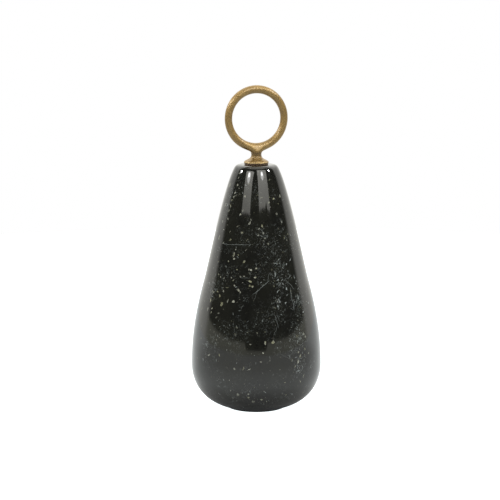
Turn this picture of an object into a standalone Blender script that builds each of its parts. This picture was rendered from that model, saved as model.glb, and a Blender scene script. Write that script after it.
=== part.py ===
# A door stop in the shape of a plumb bob: a turned stone body with a brass ring handle that
# screws into its top. Metres, +Z up. The origin is on the floor, under the middle of the foot,
# and the handle unscrews about the Z axis.

from math import cos, pi, radians, sin, tan

import bmesh
import bpy
from mathutils import Matrix, Vector

# Stone body: five points of its outline, and the lean of its side from vertical at two of them
TOP_Z = 0.1686
TOP_FLAT_R = 0.0100
SHOULDER_Z = 0.1644
SHOULDER_R = 0.0160
SHOULDER_LEAN = 0.435
WAIST_Z = 0.0913
WAIST_R = 0.0354
WAIST_LEAN = 0.237
BELLY_Z = 0.0308
BELLY_R = 0.0450
FOOT_Z = 0.0015
FOOT_R = 0.0235

# Lengths of the outline's curve handles, from the top down
TOP_HANDLE = 0.0039
FLANK_HANDLE = 0.0158
WAIST_HANDLE = 0.0065
BELLY_HANDLE_UP = 0.0283
BELLY_HANDLE_DOWN = 0.0246

# Drilled hole in the stone, and what is glued into it
HOLE_R = 0.0057
HOLE_FLOOR_Z = 0.1500
GAP = 0.0003
ADHESIVE_WALL = 0.0008
ADHESIVE_FLOOR = 0.0006
INSERT_R = 0.0043
INSERT_TOP_Z = 0.1683
GROOVE_DEPTH = 0.0003
GROOVE_WIDTH = 0.0020
GROOVE_PLACES = (0.75, 0.5, 0.25)
TAPPED_FLOOR_Z = 0.1524
MACHINED_EDGE = 0.0004

# Right-hand thread, M6 x 1, and how much wider the tapped thread is cut
PITCH = 0.0010
THREAD_R = 0.00295
THREAD_DEPTH = 0.541 * PITCH
CREST_WIDTH = 0.125 * PITCH
ROOT_WIDTH = 0.250 * PITCH
THREAD_CLEARANCE = 0.0002
THREAD_SIDES = 16

# Washer between the flange and the stone
WASHER_Z = 0.16875
WASHER_THICK = 0.0006
WASHER_R = 0.0080
WASHER_HOLE_R = 0.0033

# Ring handle: one casting of ring, neck and flange. The bar swells a little at the ring's top
# and bottom. The neck is an outline of (radius, height above the flange's underside), from the
# fillet under the ring, past the waist and the rounded rim, to the flat underside.
FLANGE_Z = 0.1695
RING_Z = 0.2000
RING_R = 0.0196
BAR_R = 0.00265
BAR_SWELL = 0.045
NECK_OUTLINE = (
    (0.00400, 0.0079),
    (0.00360, 0.0069),
    (0.00343, 0.0057),
    (0.00357, 0.0045),
    (0.00420, 0.0035),
    (0.00545, 0.0027),
    (0.00745, 0.0018),
    (0.00820, 0.0012),
    (0.00857, 0.0007),
    (0.00848, 0.0002),
    (0.00815, 0.0000),
    (0.00756, 0.0000),
    (0.00460, 0.0000),
)
RING_STEPS = 24
BAR_STEPS = 8
NECK_STEPS = 12

# Stud fixed in the handle. Both threads are built longer than needed, from the same height, so
# that they mesh, and are then cut to length.
STUD_TIP_Z = 0.1532
THREAD_START_Z = 0.1492
TAP_TURNS = 24
STUD_TURNS = 32
STUD_SHOULDER_Z = 0.1694
SPIGOT_R = 0.0022
SPIGOT_TOP_Z = 0.1750
SOCKET_R = 0.0025
SOCKET_TOP_Z = 0.1753
DRILL_POINT = radians(31)

# Felt pad under the foot
PAD_R = 0.0215
PAD_THICK = 0.0012
PAD_EDGE = 0.0002

STONE_SIDES = 64
PAD_SIDES = 48
SMALL_SIDES = 32

# How far a cutter runs past the face it enters
OVERRUN = 0.0010


def clear_scene():
    for old in list(bpy.data.objects):
        bpy.data.objects.remove(old, do_unlink=True)


def material(name, colour, roughness, metallic):
    made = bpy.data.materials.new(name)
    made.use_nodes = True
    shader = made.node_tree.nodes["Principled BSDF"]
    shader.inputs["Base Color"].default_value = (*colour, 1.0)
    shader.inputs["Roughness"].default_value = roughness
    shader.inputs["Metallic"].default_value = metallic
    made.diffuse_color = (*colour, 1.0)
    return made


def curve(start, start_handle, end_handle, end, steps):
    """Points of a cubic curve after its start."""
    a, b, c, d = (Vector(p) for p in (start, start_handle, end_handle, end))
    points = []
    for i in range(1, steps + 1):
        t = i / steps
        s = 1 - t
        points.append(tuple(s**3 * a + 3 * s * s * t * b + 3 * s * t * t * c + t**3 * d))
    return points


def lean(angle):
    """Direction of a side that leans out by the angle as it goes down, in (radius, height)."""
    return Vector((sin(angle), -cos(angle)))


def new_object(name, bm, look, origin_z=0.0, smooth_angle=35.0):
    """Turn a bmesh into an object whose origin is at this height on the Z axis."""
    bmesh.ops.recalc_face_normals(bm, faces=bm.faces)
    mesh = bpy.data.meshes.new(name)
    bm.to_mesh(mesh)
    bm.free()
    mesh.transform(Matrix.Translation((0, 0, -origin_z)))
    mesh.shade_smooth()
    mesh.set_sharp_from_angle(angle=radians(smooth_angle))
    if look:
        mesh.materials.append(look)
    made = bpy.data.objects.new(name, mesh)
    made.location.z = origin_z
    bpy.context.scene.collection.objects.link(made)
    return made


def revolved(profile, sides, closed=False):
    """Spin a (radius, height) outline about Z. An open outline starts and ends on the axis."""
    bm = bmesh.new()
    verts = [bm.verts.new((r, 0, z)) for r, z in profile]
    edges = [bm.edges.new(pair) for pair in zip(verts, verts[1:])]
    if closed:
        edges.append(bm.edges.new((verts[-1], verts[0])))
    bmesh.ops.spin(
        bm,
        geom=verts + edges,
        cent=(0, 0, 0),
        axis=(0, 0, 1),
        angle=2 * pi,
        steps=sides,
        use_merge=True,
    )
    bmesh.ops.remove_doubles(bm, verts=bm.verts, dist=1e-6)
    return bm


def threaded_rod(root_r, low_z, turns):
    """A right-hand screw thread on a rod, longer than needed, with a cone on each end.

    Each column of points climbs the rod at one angle. One turn on, a column meets the first
    column again, four points higher.
    """
    crest_r = root_r + THREAD_DEPTH
    flank = (PITCH - CREST_WIDTH - ROOT_WIDTH) / 2
    root_start = CREST_WIDTH + flank
    tooth = [(crest_r, 0.0), (crest_r, CREST_WIDTH)]
    tooth += [(root_r, root_start), (root_r, root_start + ROOT_WIDTH)]
    bm = bmesh.new()
    columns = []
    for j in range(THREAD_SIDES):
        angle = 2 * pi * j / THREAD_SIDES
        column = []
        for turn in range(turns):
            for r, rise in tooth:
                z = low_z + PITCH * (turn + j / THREAD_SIDES) + rise
                column.append(bm.verts.new((r * cos(angle), r * sin(angle), z)))
        columns.append(column)
    count = len(columns[0])
    for j in range(THREAD_SIDES - 1):
        for k in range(count - 1):
            a, b = columns[j], columns[j + 1]
            bm.faces.new((a[k], b[k], b[k + 1], a[k + 1]))
    for k in range(count - 5):
        a, b = columns[-1], columns[0]
        bm.faces.new((a[k], b[k + 4], b[k + 5], a[k + 1]))
    low_rim = [column[0] for column in columns] + columns[0][4:0:-1]
    high_rim = [column[-1] for column in columns[::-1]] + columns[-1][-5:-1]
    high_z = low_z + PITCH * (turns + 1)
    for rim, z in ((low_rim, low_z - PITCH), (high_rim, high_z + PITCH)):
        tip = bm.verts.new((0, 0, z))
        for a, b in zip(rim, rim[1:] + rim[:1]):
            bm.faces.new((tip, b, a))
    return bm


def boolean(target, tool, operation):
    modifier = target.modifiers.new(operation.lower(), "BOOLEAN")
    modifier.operation = operation
    modifier.object = tool
    modifier.solver = "EXACT"
    tool.hide_render = True
    tool.display_type = "WIRE"


def stone_profile():
    top = Vector((TOP_FLAT_R, TOP_Z))
    shoulder = Vector((SHOULDER_R, SHOULDER_Z))
    waist = Vector((WAIST_R, WAIST_Z))
    belly = Vector((BELLY_R, BELLY_Z))
    foot = Vector((FOOT_R, FOOT_Z))
    along_shoulder = lean(SHOULDER_LEAN)
    along_waist = lean(WAIST_LEAN)
    points = [(0, HOLE_FLOOR_Z), (HOLE_R, HOLE_FLOOR_Z), (HOLE_R, TOP_Z - MACHINED_EDGE)]
    points += [(HOLE_R + MACHINED_EDGE, TOP_Z), tuple(top)]
    points += curve(
        top, top + Vector((TOP_HANDLE, 0)), shoulder - along_shoulder * TOP_HANDLE, shoulder, 6
    )
    points += curve(
        shoulder,
        shoulder + along_shoulder * FLANK_HANDLE,
        waist - along_waist * FLANK_HANDLE,
        waist,
        7,
    )
    points += curve(
        waist,
        waist + along_waist * WAIST_HANDLE,
        belly + Vector((0, BELLY_HANDLE_UP)),
        belly,
        7,
    )
    points += curve(belly, belly - Vector((0, BELLY_HANDLE_DOWN)), foot, foot, 9)
    return points + [(0, FOOT_Z)]


def make_stone(look):
    new_object("stone_body", revolved(stone_profile(), STONE_SIDES), look, FOOT_Z)


def make_adhesive(look):
    outer_r = HOLE_R - GAP
    inner_r = outer_r - ADHESIVE_WALL
    low = HOLE_FLOOR_Z + GAP
    floor = low + ADHESIVE_FLOOR
    profile = [(0, floor), (inner_r, floor), (inner_r, INSERT_TOP_Z)]
    profile += [(outer_r, INSERT_TOP_Z), (outer_r, low), (0, low)]
    new_object("insert_adhesive", revolved(profile, SMALL_SIDES), look, low)


def make_insert(look):
    low = HOLE_FLOOR_Z + 2 * GAP + ADHESIVE_FLOOR
    edge = MACHINED_EDGE
    half = GROOVE_WIDTH / 2
    profile = [(0, INSERT_TOP_Z), (INSERT_R - edge, INSERT_TOP_Z), (INSERT_R, INSERT_TOP_Z - edge)]
    for place in GROOVE_PLACES:
        z = low + place * (INSERT_TOP_Z - low)
        floor = half - GROOVE_DEPTH
        profile += [(INSERT_R, z + half), (INSERT_R - GROOVE_DEPTH, z + floor)]
        profile += [(INSERT_R - GROOVE_DEPTH, z - floor), (INSERT_R, z - half)]
    profile += [(INSERT_R, low + edge), (INSERT_R - edge, low), (0, low)]
    insert = new_object("threaded_insert", revolved(profile, SMALL_SIDES), look, low)

    # The tap follows the stud's thread, a little wider, down to the drilled floor
    tap_root = THREAD_R - THREAD_DEPTH + THREAD_CLEARANCE
    tap_r = THREAD_R + THREAD_CLEARANCE
    mouth = INSERT_TOP_Z + OVERRUN
    tap = new_object("tap_thread", threaded_rod(tap_root, THREAD_START_Z, TAP_TURNS), None)
    profile = [(0, mouth), (tap_r + edge, mouth), (tap_r + edge, TAPPED_FLOOR_Z + 2 * edge)]
    profile += [(tap_root - edge, TAPPED_FLOOR_Z), (0, TAPPED_FLOOR_Z)]
    limits = new_object("tap_limits", revolved(profile, SMALL_SIDES), None)
    boolean(tap, limits, "INTERSECT")
    boolean(insert, tap, "DIFFERENCE")

    # Countersunk mouth that leads the stud in
    sink_r = tap_r + edge + OVERRUN
    sink_low = mouth - sink_r
    profile = [(0, mouth), (sink_r, mouth), (0, sink_low)]
    sink = new_object("insert_countersink", revolved(profile, SMALL_SIDES), None)
    boolean(insert, sink, "DIFFERENCE")


def make_stud(look):
    root_r = THREAD_R - THREAD_DEPTH
    edge = MACHINED_EDGE
    stud = new_object(
        "threaded_stud", threaded_rod(root_r, THREAD_START_Z, STUD_TURNS), look, FLANGE_Z
    )
    profile = [(0, SPIGOT_TOP_Z), (SPIGOT_R - edge, SPIGOT_TOP_Z), (SPIGOT_R, SPIGOT_TOP_Z - edge)]
    profile += [(SPIGOT_R, STUD_SHOULDER_Z), (root_r, STUD_SHOULDER_Z)]
    profile += [(THREAD_R + edge, STUD_SHOULDER_Z - 2 * edge)]
    profile += [(THREAD_R + edge, STUD_TIP_Z + 3 * edge), (root_r - edge, STUD_TIP_Z)]
    profile += [(0, STUD_TIP_Z)]
    limits = new_object("stud_limits", revolved(profile, SMALL_SIDES), None)
    boolean(stud, limits, "INTERSECT")
    return stud


def make_washer(look):
    high = WASHER_Z + WASHER_THICK
    profile = [(WASHER_R, high), (WASHER_R, WASHER_Z), (WASHER_HOLE_R, WASHER_Z)]
    profile += [(WASHER_HOLE_R, high)]
    bm = revolved(profile, SMALL_SIDES, closed=True)
    return new_object("flange_washer", bm, look, WASHER_Z)


def make_pad(look):
    edge = PAD_EDGE
    profile = [(0, PAD_THICK), (PAD_R - edge, PAD_THICK), (PAD_R, PAD_THICK - edge)]
    profile += [(PAD_R, edge), (PAD_R - edge, 0), (0, 0)]
    new_object("felt_pad", revolved(profile, PAD_SIDES), look)


def shrink(steps):
    """How far inside a round cage of this many points its smooth surface runs."""
    return (2 + cos(2 * pi / steps)) / 3


def ring_cage(bm):
    """Points of the ring's cage: one list round the bar for each step round the ring."""
    ring = []
    for i in range(RING_STEPS):
        angle = 2 * pi * i / RING_STEPS - pi / 2
        bar_r = BAR_R * (1 - BAR_SWELL * cos(2 * angle)) / shrink(BAR_STEPS)
        turn = []
        for j in range(BAR_STEPS):
            tilt = 2 * pi * j / BAR_STEPS
            out = (RING_R + bar_r * cos(tilt)) / shrink(RING_STEPS)
            place = (out * cos(angle), bar_r * sin(tilt), RING_Z + out * sin(angle))
            turn.append(bm.verts.new(place))
        ring.append(turn)
    return ring


def make_handle(look):
    """Ring, neck and flange as one smooth casting, from a cage that Subdivision Surface rounds."""
    bm = bmesh.new()
    ring = ring_cage(bm)

    # The outer half of the bar stays open over the two lowest steps, for the neck
    half = BAR_STEPS // 4
    for i in range(RING_STEPS):
        for j in range(BAR_STEPS):
            if i in (0, RING_STEPS - 1) and (j < half or j >= BAR_STEPS - half):
                continue
            k, m = (i + 1) % RING_STEPS, (j + 1) % BAR_STEPS
            bm.faces.new((ring[i][j], ring[k][j], ring[k][m], ring[i][m]))
    for j in (0, 1, BAR_STEPS - 1):
        bm.verts.remove(ring[0][j])
    right = [ring[1][j % BAR_STEPS] for j in range(-half, half + 1)]
    left = [ring[-1][j % BAR_STEPS] for j in range(half, -half - 1, -1)]
    loop = right + [ring[0][half]] + left + [ring[0][-half]]

    for r, height in NECK_OUTLINE:
        wide = r / shrink(NECK_STEPS)
        lower = []
        for i in range(NECK_STEPS):
            angle = 2 * pi * (i - half) / NECK_STEPS
            place = (wide * cos(angle), wide * sin(angle), FLANGE_Z + height)
            lower.append(bm.verts.new(place))
        for i in range(NECK_STEPS):
            k = (i + 1) % NECK_STEPS
            bm.faces.new((loop[i], loop[k], lower[k], lower[i]))
        loop = lower
    bm.faces.new(loop)

    handle = new_object("ring_handle", bm, look, FLANGE_Z, smooth_angle=60)
    smooth = handle.modifiers.new("cast_surface", "SUBSURF")
    smooth.levels = 1
    smooth.render_levels = 1

    # Socket for the stud's plain end, with a drill point
    point_z = SOCKET_TOP_Z + SOCKET_R * tan(DRILL_POINT)
    mouth = FLANGE_Z - OVERRUN
    profile = [(0, point_z), (SOCKET_R, SOCKET_TOP_Z), (SOCKET_R, mouth), (0, mouth)]
    drill = new_object("stud_socket", revolved(profile, SMALL_SIDES), None)
    boolean(handle, drill, "DIFFERENCE")
    return handle


def empty_at(name, z):
    made = bpy.data.objects.new(name, None)
    made.location.z = z
    bpy.context.scene.collection.objects.link(made)
    return made


def hang_on(parent, height, *children):
    """Parent pieces to an empty that stands at this height, and leave them where they are."""
    for child in children:
        child.parent = parent
        child.location.z -= height


def main():
    clear_scene()
    stone = material("black_marble", (0.012, 0.012, 0.010), 0.06, 0.0)
    brass = material("aged_brass", (0.42, 0.27, 0.10), 0.32, 1.0)
    insert_brass = material("plain_brass", (0.55, 0.38, 0.16), 0.35, 1.0)
    steel = material("plated_steel", (0.55, 0.55, 0.53), 0.30, 1.0)
    rubber = material("washer_rubber", (0.030, 0.022, 0.015), 0.70, 0.0)
    resin = material("cured_adhesive", (0.32, 0.28, 0.20), 0.30, 0.0)
    felt = material("felt", (0.015, 0.018, 0.016), 0.95, 0.0)

    make_stone(stone)
    make_adhesive(resin)
    make_insert(insert_brass)
    make_pad(felt)

    # The washer climbs with the handle, and the handle turns on it
    lift = empty_at("handle_lift_axis", FLANGE_Z)
    turn = empty_at("handle_turn_axis", FLANGE_Z)
    hang_on(lift, FLANGE_Z, turn, make_washer(rubber))
    hang_on(turn, FLANGE_Z, make_handle(brass), make_stud(steel))


main()
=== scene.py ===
# A door stop in the shape of a plumb bob: a turned body of polished black fossil marble, and a cast
# brass ring handle that screws into its top. Metres in the pieces, millimetres in the materials.

from math import cos, pi, radians, sin

import bpy
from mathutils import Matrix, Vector, noise


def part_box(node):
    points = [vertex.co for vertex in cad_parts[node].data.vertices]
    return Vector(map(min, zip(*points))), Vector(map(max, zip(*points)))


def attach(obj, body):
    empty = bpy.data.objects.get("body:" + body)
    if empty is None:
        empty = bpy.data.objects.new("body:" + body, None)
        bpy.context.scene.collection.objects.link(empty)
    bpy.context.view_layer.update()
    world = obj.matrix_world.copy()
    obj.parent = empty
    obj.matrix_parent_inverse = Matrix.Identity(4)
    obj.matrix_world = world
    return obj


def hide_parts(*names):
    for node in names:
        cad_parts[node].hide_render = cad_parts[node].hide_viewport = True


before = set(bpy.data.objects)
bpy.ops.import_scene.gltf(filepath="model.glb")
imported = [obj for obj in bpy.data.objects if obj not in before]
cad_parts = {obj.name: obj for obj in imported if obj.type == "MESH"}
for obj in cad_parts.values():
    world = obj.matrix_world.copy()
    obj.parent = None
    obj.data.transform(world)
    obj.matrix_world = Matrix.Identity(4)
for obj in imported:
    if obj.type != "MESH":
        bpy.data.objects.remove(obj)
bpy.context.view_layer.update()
print("frame loaded:", ", ".join(sorted(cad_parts)))


# Node helpers

def put(tree, kind, values=None, **settings):
    # adds a node, sets its settings, and fills its inputs with values or with other nodes' outputs
    made = tree.nodes.new("ShaderNode" + kind)
    for name, value in settings.items():
        setattr(made, name, value)
    for key, value in (values or {}).items():
        if isinstance(value, bpy.types.NodeSocket):
            tree.links.new(value, made.inputs[key])
        else:
            made.inputs[key].default_value = value
    return made


def calc(tree, operation, *values, clamp=False):
    made = put(tree, "Math", dict(enumerate(values)), operation=operation, use_clamp=clamp)
    return made.outputs[0]


def plus(tree, first, second, clamp=False):
    return calc(tree, "ADD", first, second, clamp=clamp)


def minus(tree, first, second):
    return calc(tree, "SUBTRACT", first, second)


def times(tree, first, second):
    return calc(tree, "MULTIPLY", first, second)


def over(tree, first, second):
    return calc(tree, "DIVIDE", first, second)


def most(tree, first, second):
    return second if first is None else calc(tree, "MAXIMUM", first, second)


def vec(tree, operation, *values):
    # vector arithmetic; a length or a dot product comes out as a value
    out = "Value" if operation in ("LENGTH", "DOT_PRODUCT") else "Vector"
    return put(tree, "VectorMath", dict(enumerate(values)), operation=operation).outputs[out]


def stretch(tree, place, scale):
    return put(tree, "VectorMath", {0: place, "Scale": scale}, operation="SCALE").outputs["Vector"]


def ease(tree, value, low, high, start=0.0, end=1.0):
    # a smooth step of the value from start at low to end at high
    values = {"Value": value, "From Min": low, "From Max": high, "To Min": start, "To Max": end}
    made = put(tree, "MapRange", values, interpolation_type="SMOOTHSTEP", clamp=False)
    return made.outputs[0]


def mixColour(tree, amount, first, second):
    return put(tree, "Mix", {0: amount, 6: first, 7: second}, data_type="RGBA").outputs[2]


def mixValue(tree, amount, first, second):
    return put(tree, "Mix", {0: amount, 2: first, 3: second}).outputs[0]


def rotate(tree, place, angles):
    values = {"Vector": place, "Rotation": angles}
    return put(tree, "VectorRotate", values, rotation_type="EULER_XYZ").outputs[0]


def noiseAt(tree, place, scale, detail=2.0, rough=0.5, out="Fac"):
    values = {"Vector": place, "Scale": scale, "Detail": detail, "Roughness": rough}
    return put(tree, "TexNoise", values).outputs[out]


def newGroup(name, vectors, values, outputs=("Mask",)):
    # a node group with vector inputs, value inputs and value outputs of these names
    tree = bpy.data.node_groups.new(name, "ShaderNodeTree")
    for labels, side, kind in (
        (vectors, "INPUT", "Vector"), (values, "INPUT", "Float"), (outputs, "OUTPUT", "Float")
    ):
        for label in labels:
            tree.interface.new_socket(label, in_out=side, socket_type="NodeSocket" + kind)
    return tree, tree.nodes.new("NodeGroupInput").outputs, tree.nodes.new("NodeGroupOutput").inputs


def useGroup(tree, group, **values):
    return put(tree, "Group", values, node_tree=group).outputs


def masked(tree, group, place, **values):
    return useGroup(tree, group, Place=place, **values)["Mask"]


def newMaterial(name, **settings):
    # a material with its Principled shader, and the piece's own coordinates in millimetres
    made = bpy.data.materials.new(name)
    made.use_nodes = True
    tree = made.node_tree
    shader = tree.nodes["Principled BSDF"]
    for key, value in settings.items():
        shader.inputs[key].default_value = value
    place = stretch(tree, put(tree, "TexCoord").outputs["Object"], 1000.0)
    return made, tree, shader.inputs, place


def dress(tree, shader, colour, rough, relief, depth, strength):
    # gives the shader its colour, roughness and bump
    values = {"Height": relief, "Distance": depth, "Strength": strength}
    normal = put(tree, "Bump", values).outputs[0]
    for key, value in (("Base Color", colour), ("Roughness", rough), ("Normal", normal)):
        tree.links.new(value, shader[key])


# Effects that several materials share

def makeMottling():
    # slow patches with finer ones inside them, from 0 to 1
    tree, given, out = newGroup("mottling", ("Place",), ("Size", "Contrast"))
    scale = over(tree, 1.0, given["Size"])
    broad = noiseAt(tree, given["Place"], scale, 5.0, 0.55)
    half = over(tree, 0.22, given["Contrast"])
    mask = ease(tree, broad, minus(tree, 0.5, half), plus(tree, 0.5, half))
    tree.links.new(mask, out["Mask"])
    return tree


def makeScratches():
    # fine straight marks in three directions, broken up by patches
    tree, given, out = newGroup("scratches", ("Place",), ("Length", "Width", "Amount"))
    along = over(tree, 1.0, given["Length"])
    across = over(tree, 1.0, given["Width"])
    squeeze = put(tree, "CombineXYZ", {0: across, 1: across, 2: along}).outputs[0]
    marks = None
    for turn in ((0.5, 0.2, 0.0), (1.3, 0.9, 0.4), (2.2, 0.4, 1.1)):
        line = vec(tree, "MULTIPLY", rotate(tree, given["Place"], turn), squeeze)
        line = noiseAt(tree, line, 1.0, 1.0)
        marks = most(tree, marks, ease(tree, line, 0.66, 0.74))
    worn = noiseAt(tree, given["Place"], times(tree, along, 1.7), 2.0)
    level = minus(tree, 0.75, times(tree, given["Amount"], 0.5))
    kept = ease(tree, worn, level, plus(tree, level, 0.08))
    tree.links.new(times(tree, marks, kept), out["Mask"])
    return tree


def makePitting():
    # small round pits, a share of the cells holding one each
    tree, given, out = newGroup("pitting", ("Place",), ("Size", "Share"))
    cells = over(tree, 0.4, given["Size"])
    voronoi = put(tree, "TexVoronoi", {"Vector": given["Place"], "Scale": cells}).outputs
    chosen = put(tree, "SeparateColor", {0: voronoi["Color"]}).outputs[0]
    chosen = calc(tree, "LESS_THAN", chosen, given["Share"])
    pit = ease(tree, voronoi["Distance"], 0.1, 0.3, 1.0, 0.0)
    tree.links.new(times(tree, pit, chosen), out["Mask"])
    return tree


def makeTurnedWear():
    # bright wear where a turned piece stands out furthest from its axis
    tree, given, out = newGroup("turnedWear", ("Place",), ("Radius", "Band", "Unevenness"))
    flat = vec(tree, "MULTIPLY", given["Place"], (1.0, 1.0, 0.0))
    reach = vec(tree, "LENGTH", flat)
    patches = minus(tree, noiseAt(tree, given["Place"], 0.9, 3.0), 0.5)
    patches = times(tree, times(tree, patches, given["Unevenness"]), given["Band"])
    reach = plus(tree, reach, times(tree, patches, 2.0))
    low = minus(tree, given["Radius"], given["Band"])
    tree.links.new(ease(tree, reach, low, given["Radius"]), out["Mask"])
    return tree


mottling = makeMottling()
scratches = makeScratches()
pitting = makePitting()
turnedWear = makeTurnedWear()
print("shared effects made")


# Mesh helpers

def newPiece(name, verts, faces, material, sharp=35.0):
    mesh = bpy.data.meshes.new(name)
    mesh.from_pydata([tuple(v) for v in verts], [], faces)
    mesh.validate()
    mesh.shade_smooth()
    mesh.set_sharp_from_angle(angle=radians(sharp))
    mesh.materials.append(material)
    made = bpy.data.objects.new(name, mesh)
    bpy.context.scene.collection.objects.link(made)
    return made


def turned(name, outline, sides, material, shape=None, sharp=35.0, closed=False):
    # Turns a (radius, height) outline about Z, running top to bottom down its outer side. An open
    # outline starts and ends on the axis. shape gives the radius and height at a turn.
    rows = outline if closed else outline[1:-1]
    verts = []
    for r, z in rows:
        for i in range(sides):
            turn = 2 * pi * i / sides
            wide, high = shape(r, z, turn) if shape else (r, z)
            verts.append((wide * cos(turn), wide * sin(turn), high))
    faces = []
    last = len(rows) if closed else len(rows) - 1
    for k in range(last):
        upper, lower = k * sides, (k + 1) % len(rows) * sides
        for i in range(sides):
            j = (i + 1) % sides
            faces.append((upper + j, upper + i, lower + i, lower + j))
    if not closed:
        top, foot = len(verts), len(verts) + 1
        verts += [(0, 0, outline[0][1]), (0, 0, outline[-1][1])]
        base = (len(rows) - 1) * sides
        for i in range(sides):
            j = (i + 1) % sides
            faces.append((top, i, j))
            faces.append((foot, base + j, base + i))
    return newPiece(name, verts, faces, material, sharp)


def curve(start, startHandle, endHandle, end, steps):
    # points of a cubic curve after its start
    a, b, c, d = (Vector(p) for p in (start, startHandle, endHandle, end))
    points = []
    for i in range(1, steps + 1):
        t = i / steps
        s = 1 - t
        points.append(tuple(s**3 * a + 3 * s * s * t * b + 3 * s * t * t * c + t**3 * d))
    return points


def straight(start, end, steps):
    # points of a straight run after its start
    a, b = Vector(start), Vector(end)
    return [tuple(a.lerp(b, i / steps)) for i in range(1, steps + 1)]


def lean(angle):
    return Vector((sin(angle), -cos(angle)))


# Stone body

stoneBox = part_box("stone_body")
stoneLow, stoneHigh = stoneBox[0].z, stoneBox[1].z
stoneShape = {
    "topFlat": 0.0100,
    "shoulder": (0.0160, stoneHigh - 0.0042),
    "shoulderLean": 0.435,
    "waist": (0.0354, stoneLow + 0.0898),
    "waistLean": 0.237,
    "belly": (stoneBox[1].x, stoneLow + 0.0293),
    "foot": 0.0235,
    "handles": {"top": 0.0039, "flank": 0.0158, "waist": 0.0065, "up": 0.0283, "down": 0.0246},
    "holeRadius": 0.0057,
    "holeDepth": 0.0186,
    "holeEdge": 0.0004,
    "sides": 192,
    "polishWaves": 0.000018,  # how far the hand polish leaves the surface from true
}


def stoneOutline():
    s = stoneShape
    h = s["handles"]
    top = Vector((s["topFlat"], stoneHigh))
    shoulder, waist, belly = Vector(s["shoulder"]), Vector(s["waist"]), Vector(s["belly"])
    foot = Vector((s["foot"], stoneLow))
    alongShoulder, alongWaist = lean(s["shoulderLean"]), lean(s["waistLean"])
    flank = curve(
        top, top + Vector((h["top"], 0)), shoulder - alongShoulder * h["top"], shoulder, 16
    )
    flank += curve(
        shoulder,
        shoulder + alongShoulder * h["flank"],
        waist - alongWaist * h["flank"],
        waist,
        44,
    )
    flank += curve(
        waist, waist + alongWaist * h["waist"], belly + Vector((0, h["up"])), belly, 40
    )
    flank += curve(belly, belly - Vector((0, h["down"])), foot, foot, 44)
    return [tuple(top)] + flank


stoneSide = stoneOutline()


def stoneRadius(height):
    for (r0, z0), (r1, z1) in zip(stoneSide, stoneSide[1:]):
        if z1 <= height <= z0 and z0 > z1:
            return r0 + (r1 - r0) * (z0 - height) / (z0 - z1)
    return stoneSide[-1][0]


def onStone(turn, height, tilt=0.0):
    # A place on the stone at a turn in degrees and a height in millimetres, with the directions
    # along and across a mark that tilts from level, all in millimetres.
    step = 0.5
    r = 1000 * stoneRadius(height / 1000)
    slope = 1000 * stoneRadius((height + step) / 1000) - r
    a, b = radians(turn), radians(tilt)
    sideways = Vector((-sin(a), cos(a), 0))
    upward = Vector((slope * cos(a), slope * sin(a), step)).normalized()
    place = Vector((r * cos(a), r * sin(a), height))
    return place, sideways * cos(b) + upward * sin(b), upward * cos(b) - sideways * sin(b)


def makeSpot():
    # one placed mark: an ellipsoid round Centre, solid or hollow, with a hard or a soft edge
    tree, given, out = newGroup(
        "stoneSpot", ("Place", "Centre", "Along", "Across"), ("Length", "Width", "Edge", "Hollow")
    )
    away = vec(tree, "SUBTRACT", given["Place"], given["Centre"])
    halfLength = times(tree, given["Length"], 0.5)
    halfWidth = times(tree, given["Width"], 0.5)
    x = over(tree, vec(tree, "DOT_PRODUCT", away, given["Along"]), halfLength)
    y = over(tree, vec(tree, "DOT_PRODUCT", away, given["Across"]), halfWidth)
    depth = times(tree, given["Length"], 3.0)
    z = over(tree, vec(tree, "LENGTH", away), depth)
    reach = vec(tree, "LENGTH", put(tree, "CombineXYZ", {0: x, 1: y, 2: z}).outputs[0])
    inner = minus(tree, 1.0, given["Edge"])
    mask = ease(tree, reach, inner, 1.0, 1.0, 0.0)
    core = times(tree, ease(tree, reach, 0.25, 0.6, 1.0, 0.0), given["Hollow"])
    tree.links.new(times(tree, mask, minus(tree, 1.0, core)), out["Mask"])
    return tree


def makeVein():
    # one placed hairline, straight but for Wobble, that fades out at Reach
    tree, given, out = newGroup(
        "stoneVein", ("Place", "Centre", "Across"), ("Reach", "Thickness", "Wobble")
    )
    away = vec(tree, "SUBTRACT", given["Place"], given["Centre"])
    off = plus(tree, vec(tree, "DOT_PRODUCT", away, given["Across"]), given["Wobble"])
    line = ease(tree, calc(tree, "ABSOLUTE", off), 0.0, given["Thickness"], 1.0, 0.0)
    far = over(tree, vec(tree, "LENGTH", away), given["Reach"])
    tree.links.new(times(tree, line, ease(tree, far, 0.55, 1.0, 1.0, 0.0)), out["Mask"])
    return tree


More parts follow.
